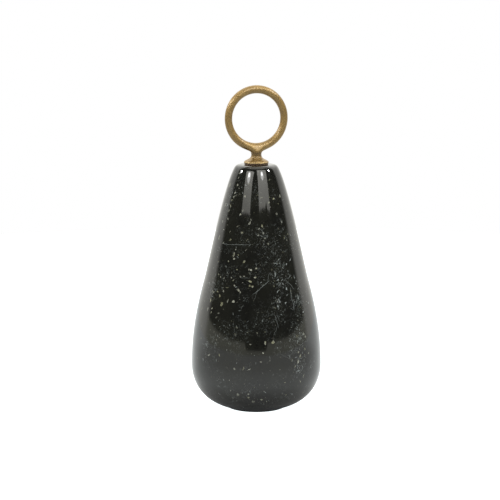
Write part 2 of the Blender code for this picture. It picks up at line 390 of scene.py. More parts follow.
def makeFossilBits():
    # Broken bits scattered through the stone. Each cell may hold one, a flattened ellipsoid turned
    # its own way, and the polished face cuts through it.
    tree, given, out = newGroup(
        "fossilBits", ("Place",), ("Cell", "Length", "Flatness", "Share"), ("Mask", "Tone")
    )
    scaled = stretch(tree, given["Place"], over(tree, 1.0, given["Cell"]))
    voronoi = put(tree, "TexVoronoi", {"Vector": scaled, "Scale": 1.0}).outputs
    away = vec(tree, "SUBTRACT", scaled, voronoi["Position"])
    away = stretch(tree, away, given["Cell"])
    spin = stretch(tree, voronoi["Color"], 2 * pi)
    own = rotate(tree, away, spin)
    chance = put(tree, "TexWhiteNoise", {"Vector": voronoi["Position"]}).outputs
    parts = put(tree, "SeparateXYZ", {0: own}).outputs
    half = times(tree, given["Length"], 0.5)
    x = over(tree, parts[0], half)
    y = over(tree, parts[1], times(tree, half, 0.7))
    z = over(tree, parts[2], times(tree, half, given["Flatness"]))
    reach = vec(tree, "LENGTH", put(tree, "CombineXYZ", {0: x, 1: y, 2: z}).outputs[0])
    kept = calc(tree, "LESS_THAN", chance["Value"], given["Share"])
    mask = times(tree, ease(tree, reach, 0.65, 1.0, 1.0, 0.0), kept)
    tree.links.new(mask, out["Mask"])
    tree.links.new(put(tree, "SeparateColor", {0: chance["Color"]}).outputs[1], out["Tone"])
    return tree


# Marks in the stone that are worth a place of their own. Turns are in degrees from +X, heights
# and sizes in millimetres, tilts in degrees from level, hollowness and brightness from 0 to 1.
stoneMarks = {
    # turn, height, length, width, tilt, hollow, brightness
    "flakes": (
        (-149, 164, 1.4, 1, 60, 0, 0.85), (-149, 161.2, 1.6, 0.9, 40, 0, 0.85),
        (-167, 163.8, 1.8, 1, 50, 0, 0.45), (-174, 155, 4.2, 2.2, 80, 0.4, 0.5),
        (-147, 156, 2, 1.2, 70, 0.3, 0.9), (-150, 151, 2, 1.1, 50, 0, 0.9),
        (-151, 148.2, 2.6, 1.3, 80, 0.8, 0.85), (-146, 149.2, 1.6, 1, 60, 0, 0.5),
        (-154, 146.2, 1.8, 1, 60, 0, 0.5), (-154, 142.3, 2.4, 1.3, 110, 0.5, 0.9),
        (-170, 142, 3.8, 1.4, 80, 0.4, 0.45), (-156, 138.8, 2.4, 1.6, 30, 0.6, 0.45),
        (-155, 133.4, 1.6, 1.2, 60, 0, 0.8), (-167, 131, 2.6, 1.4, 80, 0.4, 0.45),
        (-160, 126, 2, 1.2, 70, 0.3, 0.65), (-167, 120.3, 4, 2.2, 85, 0.5, 0.45),
        (-155, 117.8, 1.8, 1.2, 40, 0.3, 0.65), (-127, 149.3, 1.5, 1.2, 0, 0, 0.9),
        (-132, 137.4, 1.6, 1.3, 0, 0, 0.95), (-128, 139.7, 2.6, 1.4, 60, 0, 0.3),
        (-116, 132, 3, 0.9, 65, 0, 0.6), (-114, 134, 1.8, 1.4, 120, 0.4, 0.6),
        (-97, 130, 2, 1.5, 110, 0.4, 0.85), (-96, 148.6, 1.6, 1, 40, 0, 0.45),
        (-74, 147.5, 1.6, 1.4, 0, 0, 1), (-58, 148.6, 2.4, 1.7, 70, 0.7, 0.75),
        (-84, 145, 1.6, 1.3, 30, 0, 0.8), (-82, 142, 1.1, 0.8, 30, 0, 0.6),
        (-72, 137.4, 2.4, 1.6, 50, 0.4, 0.45), (-65, 131.6, 2.2, 1.3, 60, 0.3, 0.45),
        (-76, 160, 1.6, 1, 20, 0, 0.4), (-102, 128.3, 1.5, 1, 30, 0, 0.6),
        (-96, 125.2, 1.7, 1, 70, 0, 0.6), (-103, 124, 1.4, 1, 20, 0, 0.55),
        (-94, 122, 1.6, 0.9, 50, 0, 0.55), (-97, 120.3, 1.3, 0.9, 0, 0, 0.5),
        (-90, 118, 1.7, 1, 80, 0, 0.5), (-126, 125.6, 1.5, 1, 40, 0, 0.6),
        (-134, 129.5, 1.8, 1.1, 60, 0, 0.4), (-143, 120, 1.6, 1.1, 30, 0, 0.6),
        (-146, 125.2, 1.8, 1.1, 70, 0, 0.4), (-133, 114.2, 1.3, 1, 0, 0, 0.7),
        (-135, 110.5, 3.8, 1.6, 80, 0.6, 0.7), (-134, 107.8, 1.5, 1.2, 30, 0, 0.85),
        (-129, 110.8, 1.3, 1, 0, 0, 0.75), (-142, 106, 1.3, 1, 0, 0, 0.7),
        (-129, 101, 1.3, 1, 0, 0, 0.6), (-124, 96.8, 1.4, 1, 0, 0, 0.6),
        (-120, 97.1, 1.4, 1.1, 0, 0, 0.65), (-119, 114.1, 1.6, 1, 50, 0, 0.35),
        (-112, 101.3, 1.9, 1.3, 35, 0, 0.95), (-106, 102.4, 2, 1.1, 15, 0, 0.85),
        (-107, 96.6, 2.1, 1.3, 10, 0, 0.95), (-113, 93.9, 2.8, 1.7, 150, 0, 0.95),
        (-113, 91.1, 1.7, 1.3, 90, 0.3, 0.7), (-110, 90.7, 1.5, 1.1, 20, 0, 0.75),
        (-121, 92.7, 1.4, 1, 0, 0, 0.6), (-150, 95.2, 1.4, 1.1, 0, 0, 0.7),
        (-154, 96.4, 1.5, 1, 40, 0, 0.6), (-145, 94.8, 1.7, 1, 60, 0, 0.4),
        (-135, 95.5, 1.4, 1, 0, 0, 0.6), (-132, 94, 1.5, 1.1, 50, 0, 0.6),
        (-130, 90.6, 1.9, 1.3, 110, 0, 0.9), (-125, 87.6, 2, 1.3, 120, 0.2, 0.9),
        (-123, 86.6, 1.5, 1.1, 30, 0, 0.7), (-139, 88.8, 3.2, 0.7, 20, 0, 0.6),
        (-157, 84.3, 2, 1.1, 60, 0, 0.8), (-151, 85.4, 1.7, 1.1, 40, 0, 0.65),
        (-143, 86.1, 1.4, 1.2, 0, 0, 0.9), (-147, 83, 2.1, 1.6, 90, 0.2, 0.95),
        (-159, 78.7, 3.4, 1.2, 88, 0, 0.8), (-143, 77.5, 3.8, 2.1, 85, 0.6, 0.8),
        (-136, 80.3, 2.8, 1, 75, 0.3, 0.75), (-130, 80.3, 2.1, 1.4, 30, 0, 0.9),
        (-161, 72.7, 3.6, 1.2, 85, 0.2, 0.45), (-155, 73.7, 1.9, 1.2, 60, 0, 0.85),
        (-155, 70.9, 1.9, 1.2, 100, 0.2, 0.85), (-173, 71.6, 2.8, 1.3, 85, 0, 0.4),
        (-145, 71.5, 1.9, 1.1, 40, 0, 0.4), (-147, 68.6, 1.9, 1.1, 70, 0, 0.4),
        (-124, 63.5, 1.9, 1.2, 20, 0, 0.35), (-98, 53.8, 2.9, 1.5, 100, 0.2, 0.95),
        (-91, 54, 2.8, 2, 60, 0.4, 0.95), (-111, 52.6, 1.5, 1.2, 70, 0.2, 0.6),
        (-100, 47, 1.3, 1.1, 0, 0, 0.95), (-102, 40.8, 1.8, 1.2, 120, 0.6, 0.6),
        (-140, 44, 2.2, 1, 120, 0.3, 0.7), (-152, 42.6, 1.8, 1.2, 50, 0, 0.85),
        (-125, 35.6, 2, 0.9, 60, 0.2, 0.75), (-117, 36.6, 3, 0.8, 75, 0, 0.65),
        (-112, 35.9, 2.6, 0.7, 25, 0, 0.75), (-67, 38.8, 3.2, 1.7, 60, 0.3, 0.9),
        (-56, 54.5, 1.6, 1.2, 80, 0, 0.85), (-64, 24.8, 2.4, 0.8, 115, 0.2, 0.75),
        (-60, 28.5, 2.2, 0.8, 55, 0, 0.8), (-64, 42.5, 3.2, 0.9, 50, 0.3, 0.8),
        (-58, 46.5, 2.4, 0.9, 65, 0, 0.6), (-53, 43, 2.2, 1, 40, 0, 0.7),
        (-70, 36, 2.4, 0.8, 35, 0.2, 0.7), (-66, 45, 1.8, 0.9, 80, 0, 0.6),
        (-113, 18.2, 1.8, 1.4, 20, 0, 0.75), (-113, 15.7, 1.9, 1.6, 30, 0, 0.75),
        (-123, 17.4, 2.3, 2, 90, 0.2, 0.55), (-109, 12.3, 2.6, 2.2, 30, 0.5, 0.65),
        (-101, 14, 1.9, 1.2, 150, 0, 0.75), (-77, 16.2, 1.8, 1, 30, 0, 0.65),
    ),
    # pale blue-grey crystals: turn, height, length, width, tilt, brightness
    "crystals": (
        (-60, 106.5, 3.6, 0.9, 50, 0.9), (-67, 103.9, 1.8, 1.1, 55, 0.85),
        (-77, 107.8, 3.4, 0.7, 25, 0.55), (-82, 105, 3, 1.1, 150, 0.65),
        (-76, 104.5, 4.2, 0.6, 95, 0.4), (-73, 102.2, 2.6, 0.7, 140, 0.5),
        (-75, 100.3, 2.4, 0.5, 60, 0.4), (-84, 98, 4.6, 1.7, 85, 0.6), (-81, 94.4, 1.8, 1.5, 30, 0.8),
        (-76, 91.6, 3.4, 0.7, 130, 0.45), (-72, 87.9, 1.7, 1.2, 55, 0.7), (-65, 95.8, 2.6, 1, 55, 0.6),
        (-58, 94.6, 2.8, 1.1, 110, 0.65), (-83, 86.9, 2.6, 1.2, 50, 0.55),
        (-82, 80.6, 4.2, 1, 100, 0.6), (-84, 77.3, 2.6, 1.7, 130, 0.75), (-75, 79, 2.4, 1.1, 40, 0.85),
        (-72, 84, 2.6, 1.2, 45, 0.35), (-58, 81.6, 4.8, 1.1, 95, 0.7), (-61, 78.2, 3.2, 0.8, 50, 0.55),
        (-54, 71.2, 2.4, 1.2, 30, 0.6),
    ),
    # grey clouds of fine specks: turn, height, length, width, tilt, strength
    "clouds": (
        (-108, 152, 6, 3, 80, 0.8), (-104, 144, 5, 3, 60, 0.8), (-98, 125, 14, 8, 120, 0.75),
        (-116, 82, 7, 4, 70, 0.9), (-120, 78, 5, 4, 60, 0.7), (-78, 97, 30, 18, 100, 0.75),
        (-84, 78, 18, 11, 110, 0.75), (-60, 76, 26, 15, 95, 0.8), (-66, 52, 30, 20, 80, 1),
        (-64, 36, 22, 14, 75, 0.9), (-112, 21, 16, 12, 30, 0.45), (-96, 11, 10, 7, 0, 0.6),
        (-156, 50, 12, 9, 50, 0.55), (-158, 86, 22, 14, 70, 0.65), (-163, 145, 34, 10, 80, 0.6),
        (-140, 98, 18, 12, 30, 0.5), (-20, 110, 34, 20, 70, 0.75), (30, 60, 40, 24, 110, 0.75),
        (80, 130, 30, 14, 60, 0.75), (120, 80, 36, 22, 100, 0.7),
    ),
    # hairlines: turn, height, tilt, reach, thickness, brightness
    "veins": (
        (-137, 117.4, 3, 13, 0.28, 0.55), (-118, 96, 8, 4, 0.22, 0.4), (-101, 89.8, 42, 9, 0.3, 0.55),
        (-93, 95.5, 68, 5, 0.26, 0.35), (-106, 85.5, 75, 5, 0.26, 0.35), (-67, 90.5, 128, 6, 0.3, 0.5),
        (-66.5, 81, 93, 9, 0.32, 0.75), (-87, 68, 105, 6, 0.3, 0.45), (-88, 61, 70, 4, 0.26, 0.35),
        (-80, 44, 150, 7, 0.24, 0.25), (-30, 95, 60, 22, 0.3, 0.45), (15, 125, 35, 18, 0.28, 0.5),
        (60, 70, 110, 24, 0.32, 0.45), (105, 100, 50, 20, 0.28, 0.45), (150, 60, 20, 18, 0.28, 0.4),
    ),
}


def makeMarble():
    spot, vein, fossilBits = makeSpot(), makeVein(), makeFossilBits()
    made, tree, shader, place = newMaterial("blackMarble", **{"IOR": 1.52})

    def placed(where, turn, height, tilt, **sizes):
        centre, along, across = onStone(turn, height, tilt)
        return masked(tree, spot, where, Centre=centre, Along=along, Across=across, **sizes)

    # the marks' outlines are ragged: their coordinates wander a little
    wander = vec(tree, "SUBTRACT", noiseAt(tree, place, 0.75, 3.0, out="Color"), (0.5, 0.5, 0.5))
    ragged = vec(tree, "ADD", place, stretch(tree, wander, 2.1))
    sway = minus(tree, noiseAt(tree, place, 0.13, 3.0), 0.5)
    fineSway = minus(tree, noiseAt(tree, place, 0.6, 2.0), 0.5)
    sway = calc(tree, "MULTIPLY_ADD", sway, 3.0, times(tree, fineSway, 1.1))
    grain = noiseAt(tree, place, 2.2, 2.0, 0.6)

    # where specks crowd together
    drift = ease(tree, noiseAt(tree, place, 0.06, 3.0, 0.6), 0.44, 0.68)
    crowd = times(tree, drift, 0.32)
    loose = vec(tree, "ADD", place, stretch(tree, wander, 6.0))
    for turn, height, length, width, tilt, strength in stoneMarks["clouds"]:
        sizes = dict(Length=length * 1.25, Width=width * 1.25, Edge=0.85)
        mask = placed(loose, turn, height, tilt, **sizes)
        crowd = most(tree, crowd, times(tree, mask, strength))

    # scattered bits of three sizes, and thin crystals that show as short strokes
    pale = None
    for cell, length, flatness, base, more, tone in (
        (5.2, 2.6, 0.50, 0.06, 0.30, 0.62),
        (2.6, 1.4, 0.55, 0.10, 0.45, 0.60),
        (1.3, 0.8, 0.65, 0.10, 0.60, 0.50),
    ):
        share = calc(tree, "MULTIPLY_ADD", crowd, more, base)
        bits = useGroup(
            tree, fossilBits, Place=ragged, Cell=cell, Length=length, Flatness=flatness, Share=share
        )
        own = calc(tree, "POWER", bits["Tone"], 2.0)
        own = calc(tree, "MULTIPLY_ADD", own, 0.85 * tone, 0.15 * tone)
        shown = times(tree, bits["Mask"], own)
        pale = most(tree, pale, shown)
    strokes = useGroup(
        tree, fossilBits, Place=place, Cell=2.2, Length=2.6, Flatness=0.10,
        Share=calc(tree, "MULTIPLY_ADD", crowd, 0.85, 0.02),
    )
    cool = times(tree, strokes["Mask"], times(tree, strokes["Tone"], 0.75))
    dust = ease(tree, noiseAt(tree, place, 1.5, 4.0, 0.7), 0.56, 0.70)
    dust = times(tree, dust, times(tree, crowd, 0.45))
    cool = most(tree, cool, dust)

    # fine healed cracks that branch where the specks crowd
    bent = vec(tree, "ADD", place, stretch(tree, wander, 4.5))
    cells = put(
        tree, "TexVoronoi", {"Vector": bent, "Scale": 0.36}, feature="DISTANCE_TO_EDGE"
    ).outputs["Distance"]
    cracks = ease(tree, cells, 0.0, 0.05, 1.0, 0.0)
    broken = ease(tree, noiseAt(tree, place, 0.42, 2.0), 0.50, 0.62)
    cracks = times(tree, times(tree, cracks, broken), crowd)
    cool = most(tree, cool, times(tree, cracks, 0.80))

    # the placed marks, gathered kind by kind
    flakes = crystals = lines = None
    for turn, height, length, width, tilt, hollow, bright in stoneMarks["flakes"]:
        sizes = dict(Length=length, Width=width, Edge=0.45, Hollow=hollow)
        mask = placed(ragged, turn, height, tilt, **sizes)
        flakes = most(tree, flakes, times(tree, mask, 0.76 * bright))
    for turn, height, length, width, tilt, bright in stoneMarks["crystals"]:
        sizes = dict(Length=length * 1.1, Width=width * 0.75, Edge=0.6)
        mask = placed(ragged, turn, height, tilt, **sizes)
        crystals = most(tree, crystals, times(tree, mask, 0.9 * bright))
    for turn, height, tilt, reach, thickness, bright in stoneMarks["veins"]:
        centre, _, across = onStone(turn, height, tilt)
        sizes = dict(Reach=reach, Thickness=0.75 * thickness, Wobble=sway)
        mask = masked(tree, vein, place, Centre=centre, Across=across, **sizes)
        lines = most(tree, lines, times(tree, mask, 0.7 * bright))
    pale = most(tree, pale, flakes)
    cool = most(tree, cool, most(tree, crystals, lines))

    # colours: near black, olive in places, with cream and blue-grey marks
    ground = masked(tree, mottling, place, Size=22.0, Contrast=1.2)
    colour = mixColour(tree, ground, (0.0035, 0.0036, 0.0033, 1), (0.0080, 0.0082, 0.0062, 1))
    fineGround = masked(tree, mottling, place, Size=2.6, Contrast=0.8)
    colour = mixColour(tree, times(tree, fineGround, 0.35), colour, (0.013, 0.0135, 0.011, 1))
    colour = mixColour(tree, cool, colour, (0.33, 0.37, 0.37, 1))
    warmth = ease(tree, noiseAt(tree, place, 0.16, 1.0), 0.45, 0.6)
    cream = mixColour(tree, warmth, (0.42, 0.43, 0.38, 1), (0.33, 0.33, 0.22, 1))
    cream = mixColour(tree, times(tree, grain, 0.5), cream, (0.16, 0.16, 0.10, 1))
    colour = mixColour(tree, pale, colour, cream)

    # a mirror polish, a little duller over the marks and under fine wipe marks
    wiped = masked(tree, scratches, place, Length=14.0, Width=0.16, Amount=0.55)
    marks = most(tree, pale, cool)
    rough = calc(tree, "MULTIPLY_ADD", marks, 0.10, 0.045)
    rough = plus(tree, rough, times(tree, wiped, 0.03))
    rough = plus(tree, rough, times(tree, fineGround, 0.015))
    pits = masked(tree, pitting, ragged, Size=0.35, Share=0.06)
    dress(tree, shader, colour, rough, minus(tree, grain, pits), 0.000004, 0.5)
    return made


def polishWave(r, z, turn):
    # the stone is true but for slow waves that its polishing leaves
    if r < 1.5 * stoneShape["holeRadius"]:
        return r, z
    spot = Vector((r * cos(turn), r * sin(turn), z))
    wave = noise.noise(spot * 60) + 0.5 * noise.noise(spot * 150)
    return r - stoneShape["polishWaves"] * (1 + wave), z


def makeStone():
    s = stoneShape
    edge, hole, floor = s["holeEdge"], s["holeRadius"], stoneHigh - s["holeDepth"]
    outline = [(0, floor), (hole * 0.5, floor), (hole, floor)]
    outline += straight((hole, floor), (hole, stoneHigh - edge), 12)
    outline += [(hole + edge * 0.5, stoneHigh - edge * 0.3), (hole + edge, stoneHigh)]
    outline += [((hole + s["topFlat"]) / 2, stoneHigh)] + stoneSide
    outline += [(s["foot"] * k, stoneLow) for k in (0.95, 0.6, 0.3)] + [(0, stoneLow)]
    body = turned("marbleBody", outline, s["sides"], makeMarble(), polishWave)
    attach(body, "weight")
    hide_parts("stone_body")


makeStone()
print("stone body made")


# Ring handle

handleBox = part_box("ring_handle")
flangeZ = handleBox[0].z
handleShape = {
    "ringZ": flangeZ + 0.0305,
    "ringRadius": 0.0196,
    "barRadius": 0.00265,
    "swell": 0.045,
    # the neck's outline: radius, and height above the flange's underside
    "neck": (
        (0.00400, 0.0079), (0.00360, 0.0069), (0.00343, 0.0057), (0.00357, 0.0045),
        (0.00420, 0.0035), (0.00545, 0.0027), (0.00745, 0.0018), (0.00820, 0.0012),
        (0.00857, 0.0007), (0.00848, 0.0002), (0.00815, 0.0000), (0.00756, 0.0000),
        (0.00460, 0.0000),
    ),
    "ringSteps": 24,
    "barSteps": 8,
    "neckSteps": 12,
    "smoothing": 3,
    "socketRadius": 0.0025,
    "socketDepth": 0.0058,
    "drillPoint": 0.0015,
    "neckWaist": 0.0057,
    "handWork": 0.000015,  # how uneven the filed and polished casting is
}


def makeBrass():
    h = handleShape
    made, tree, shader, place = newMaterial(
        "agedBrass",
        **{
            "Metallic": 1.0,
            "Specular Tint": (0.70, 0.60, 0.48, 1),
            "Coat Weight": 0.7,
            "Coat Roughness": 0.28,
        },
    )
    # tarnish lies in patches; the darkening inside the ring, at its root, round the neck and under the
    # rim is painted shade
    patches = masked(tree, mottling, place, Size=6.0, Contrast=0.9)
    specks = masked(tree, mottling, place, Size=0.9, Contrast=0.8)
    fromRing = vec(tree, "SUBTRACT", place, (0, 0, 1000 * h["ringZ"]))
    ringReach = vec(tree, "LENGTH", vec(tree, "MULTIPLY", fromRing, (1, 0, 1)))
    middle = 1000 * h["ringRadius"]
    bar = 1000 * h["barRadius"]
    inside = ease(tree, ringReach, middle - bar, middle - 0.3 * bar, 1.0, 0.0)
    height = put(tree, "SeparateXYZ", {0: place}).outputs["Z"]
    neckZ = 1000 * (flangeZ + h["neckWaist"])
    fromNeck = calc(tree, "ABSOLUTE", minus(tree, height, neckZ))
    neck = ease(tree, fromNeck, 0.5, 3.2, 1.0, 0.0)
    underRim = ease(tree, height, 1000 * flangeZ + 0.1, 1000 * flangeZ + 0.7, 1.0, 0.0)
    paintedShade = most(tree, times(tree, inside, 0.45), neck)
    paintedShade = most(tree, paintedShade, underRim)
    # dark mixes the tarnish patches and specks with the painted shade inside the ring, round the neck and
    # under the rim
    dark = calc(tree, "MULTIPLY_ADD", paintedShade, 0.45, times(tree, patches, 0.40))
    dark = plus(tree, dark, times(tree, specks, 0.07), clamp=True)
    rim = masked(tree, turnedWear, place, Radius=8.6, Band=0.6, Unevenness=0.6)
    below = ease(tree, height, neckZ - 4.6, neckZ - 3.4, 1.0, 0.0)
    worn = times(tree, rim, below)
    marks = masked(tree, scratches, place, Length=3.0, Width=0.12, Amount=0.6)

    colour = mixColour(tree, dark, (0.285, 0.188, 0.066, 1), (0.145, 0.090, 0.031, 1))
    colour = mixColour(tree, times(tree, worn, 0.7), colour, (0.42, 0.31, 0.15, 1))
    colour = mixColour(tree, times(tree, marks, 0.2), colour, (0.38, 0.27, 0.13, 1))
    rough = mixValue(tree, dark, 0.50, 0.64)
    rough = minus(tree, rough, times(tree, worn, 0.08))
    rough = plus(tree, rough, times(tree, marks, 0.08))
    pits = masked(tree, pitting, place, Size=0.4, Share=0.25)
    skin = noiseAt(tree, place, 1.6, 3.0, 0.55)
    relief = minus(tree, skin, times(tree, pits, 0.25))
    relief = minus(tree, relief, times(tree, marks, 0.12))
    dress(tree, shader, colour, rough, relief, 0.000005, 0.5)
    return made


def shrink(steps):
    # how far inside a round cage of this many points its smooth surface runs
    return (2 + cos(2 * pi / steps)) / 3


def handleCage():
    h = handleShape
    ringSteps, barSteps, neckSteps = h["ringSteps"], h["barSteps"], h["neckSteps"]
    half = barSteps // 4
    verts, faces = [], []

    def add(x, y, z):
        verts.append((x, y, z))
        return len(verts) - 1

    # the neck's mouth takes the place of the bar's outer half over the two lowest steps
    gone = {(0, 0), (0, 1), (0, barSteps - 1)}
    ring = {}
    for i in range(ringSteps):
        angle = 2 * pi * i / ringSteps - pi / 2
        bar = h["barRadius"] * (1 - h["swell"] * cos(2 * angle)) / shrink(barSteps)
        for j in range(barSteps):
            if (i, j) in gone:
                continue
            tilt = 2 * pi * j / barSteps
            out = (h["ringRadius"] + bar * cos(tilt)) / shrink(ringSteps)
            ring[i, j] = add(out * cos(angle), bar * sin(tilt), h["ringZ"] + out * sin(angle))
    for i in range(ringSteps):
        for j in range(barSteps):
            if i in (0, ringSteps - 1) and (j < half or j >= barSteps - half):
                continue
            k, m = (i + 1) % ringSteps, (j + 1) % barSteps
            faces.append((ring[i, j], ring[k, j], ring[k, m], ring[i, m]))
    right = [ring[1, j % barSteps] for j in range(-half, half + 1)]
    left = [ring[ringSteps - 1, j % barSteps] for j in range(half, -half - 1, -1)]
    loop = right + [ring[0, half]] + left + [ring[0, barSteps - half]]
    for r, height in h["neck"]:
        wide = r / shrink(neckSteps)
        lower = []
        for i in range(neckSteps):
            angle = 2 * pi * (i - half) / neckSteps
            lower.append(add(wide * cos(angle), wide * sin(angle), flangeZ + height))
        for i in range(neckSteps):
            k = (i + 1) % neckSteps
            faces.append((loop[i], loop[k], lower[k], lower[i]))
        loop = lower
    faces.append(tuple(loop))
    return verts, faces


def asMesh(piece):
    # the piece's mesh as its modifiers leave it, with the modifiers gone
    shown = piece.evaluated_get(bpy.context.evaluated_depsgraph_get())
    mesh = bpy.data.meshes.new_from_object(shown)
    piece.modifiers.clear()
    piece.data = mesh


def makeHandle():
    h = handleShape
    verts, faces = handleCage()
    handle = newPiece("brassHandle", verts, faces, makeBrass(), sharp=60.0)
    smooth = handle.modifiers.new("castSurface", "SUBSURF")
    smooth.levels = smooth.render_levels = h["smoothing"]
    asMesh(handle)

    # the casting was filed and polished by hand, so it isn't quite even
    flatTop = flangeZ + 0.0001
    directions = [v.normal.copy() for v in handle.data.vertices]
    for v, outward in zip(handle.data.vertices, directions):
        if v.co.z > flatTop:
            uneven = noise.noise(v.co * 190) + 0.6 * noise.noise(v.co * 420)
            v.co += outward * h["handWork"] * (uneven - 0.8)

    # drilled socket for the stud's plain end
    socket, deep, below = h["socketRadius"], flangeZ + h["socketDepth"], flangeZ - 0.001
    outline = [(0, deep + h["drillPoint"]), (socket, deep)]
    outline += straight((socket, deep), (socket, below), 6) + [(0, below)]
    drill = turned("socketDrill", outline, 48, handle.data.materials[0])
    cut = handle.modifiers.new("socket", "BOOLEAN")
    cut.operation, cut.solver, cut.object = "DIFFERENCE", "EXACT", drill
    asMesh(handle)
    bpy.data.objects.remove(drill)
    handle.data.set_sharp_from_angle(angle=radians(60))
    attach(handle, "handle")
    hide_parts("ring_handle")


makeHandle()
print("ring handle made")


# Threads: stud in the handle, insert in the stone

threadShape = {
    "pitch": 0.0010,
    "depth": 0.00054,
    "radius": 0.00295,
    "clearance": 0.0002,
    "lead": 0.0040,  # the helix starts this far below the stud's tip
    "sides": 48,
}
studShape = {
    "end": 0.0009,
    "tip": 0.0018,
    "spigot": 0.0022,
    "spigotEdge": 0.0004,
    "chamfer": 0.0007,
    "relief": 0.0001,
    "shoulderEdge": 0.0003,
}


def threadDepth(z, turn, start):
    # how deep the 60 degree thread is cut at this height and turn, from 0 on the crest
    t = threadShape
    along = ((z - start) / t["pitch"] - turn / (2 * pi)) % 1.0
    ramp = min(abs(along - 0.5), 0.5)
    return t["depth"] * min(max((0.4375 - ramp) / 0.3125, 0.0), 1.0)


def makeSteel():
    made, tree, shader, place = newMaterial("platedSteel", **{"Metallic": 1.0})
    patches = masked(tree, mottling, place, Size=2.2, Contrast=0.8)
    crests = masked(tree, turnedWear, place, Radius=2.94, Band=0.14, Unevenness=0.5)
    marks = masked(tree, scratches, place, Length=1.2, Width=0.06, Amount=0.6)
    colour = mixColour(tree, patches, (0.42, 0.40, 0.36, 1), (0.56, 0.55, 0.52, 1))
    colour = mixColour(tree, times(tree, crests, 0.7), colour, (0.72, 0.71, 0.69, 1))
    rough = plus(tree, mixValue(tree, crests, 0.42, 0.24), times(tree, patches, 0.08))
    relief = minus(tree, noiseAt(tree, place, 6.0, 3.0), times(tree, marks, 0.6))
    dress(tree, shader, colour, rough, relief, 0.000012, 0.6)
    return made


def makeStud():
    n, t = studShape, threadShape
    low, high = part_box("threaded_stud")
    shoulder = flangeZ - n["relief"]
    spigot, edge = n["spigot"], n["spigotEdge"]
    start = low.z - t["lead"]

    def cut(r, z, turn):
        if z > shoulder - 1e-6 or r < 1.1 * n["end"]:
            return r, z
        tip = r - n["chamfer"] + (z - low.z)
        runOut = min(max((shoulder - z) / t["pitch"], 0.0), 1.0)
        r = min(r - threadDepth(z, turn, start) * runOut, max(tip, n["tip"]))
        return r, z

    outline = [(0, high.z), (spigot - edge, high.z), (spigot, high.z - edge)]
    outline += straight((spigot, high.z - edge), (spigot, shoulder), 4)
    outline += [(t["radius"] - n["shoulderEdge"], shoulder)]
    count = round(16 * (shoulder - low.z) / t["pitch"])
    outline += [(t["radius"], shoulder - (shoulder - low.z) * i / count) for i in range(1, count + 1)]
    outline += [(n["end"], low.z), (0, low.z)]
    stud = turned("threadedStud", outline, t["sides"], makeSteel(), cut, sharp=50.0)
    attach(stud, "handle")
    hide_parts("threaded_stud")


insertShape = {
    "countersink": 0.0009,
    "edge": 0.0004,
    "grooves": (0.25, 0.5, 0.75),
    "grooveWidth": 0.0020,
    "grooveDepth": 0.0003,
    "knurls": 36,
    "knurlPitch": 0.0009,
    "knurlDepth": 0.00012,
    "floor": 0.0012,
    "sides": 144,
}


def makePlainBrass():
    made, tree, shader, place = newMaterial("plainBrass", **{"Metallic": 1.0})
    patches = masked(tree, mottling, place, Size=1.8, Contrast=0.9)
    crests = masked(tree, turnedWear, place, Radius=4.3, Band=0.15, Unevenness=0.4)
    marks = masked(tree, scratches, place, Length=1.5, Width=0.06, Amount=0.6)
    colour = mixColour(tree, patches, (0.66, 0.48, 0.20, 1), (0.48, 0.32, 0.12, 1))
    colour = mixColour(tree, times(tree, crests, 0.5), colour, (0.78, 0.60, 0.30, 1))
    rough = mixValue(tree, patches, 0.24, 0.38)
    relief = minus(tree, noiseAt(tree, place, 5.0, 3.0), times(tree, marks, 0.6))
    dress(tree, shader, colour, rough, relief, 0.00001, 0.6)
    return made


def makeInsert():
    n, t = insertShape, threadShape
    low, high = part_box("threaded_insert")
    radius, edge = high.x, n["edge"]
    bore = t["radius"] + t["clearance"]
    sink = high.z - n["countersink"]
    floor = low.z + n["floor"]
    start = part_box("threaded_stud")[0].z - t["lead"]
    count = round(12 * (sink - floor) / t["pitch"])

    def cut(r, z, turn):
        if r == bore and floor < z < sink:
            return r + threadDepth(z, turn, start) - t["depth"], z
        if r < radius - 1e-6:
            return r, z
        slant = n["knurls"] * turn
        climb = 2 * pi * (z - low.z) / n["knurlPitch"]
        ridge = max(cos(slant + climb), cos(slant - climb))
        return r - n["knurlDepth"] * (0.5 - 0.5 * ridge), z

    outline = [(0, floor), (bore * 0.5, floor), (bore - t["depth"], floor)]
    outline += [(bore, floor + (sink - floor) * i / count) for i in range(1, count)]
    outline += [(bore, sink), (bore + n["countersink"] * 0.8, high.z), (radius - edge, high.z)]
    side = [(radius, high.z - edge)]
    for place in sorted(n["grooves"], reverse=True):
        z = low.z + place * (high.z - low.z)
        half, deep = n["grooveWidth"] / 2, n["grooveDepth"]
        side += straight(side[-1], (radius, z + half), 10)
        side += [(radius - deep, z + half - deep), (radius - deep, z - half + deep), (radius, z - half)]
    side += straight(side[-1], (radius, low.z + edge), 10)
    outline += side + [(radius - edge, low.z), (0, low.z)]
    insert = turned("threadedInsert", outline, n["sides"], makePlainBrass(), cut, sharp=40.0)
    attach(insert, "weight")
    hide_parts("threaded_insert")


makeStud()
makeInsert()
print("threads made")


# Adhesive in the hole

adhesiveShape = {
    "overlap": 0.0002,  # how far it keys into the drilled wall
    "gap": 0.0001,
    "floor": 0.0006,
    "rim": 0.0001,
    "dip": 0.00025,
    "lip": 0.0003,
    "creepHeight": 0.0012,
    "creep": 0.00010,
    "sides": 72,
}


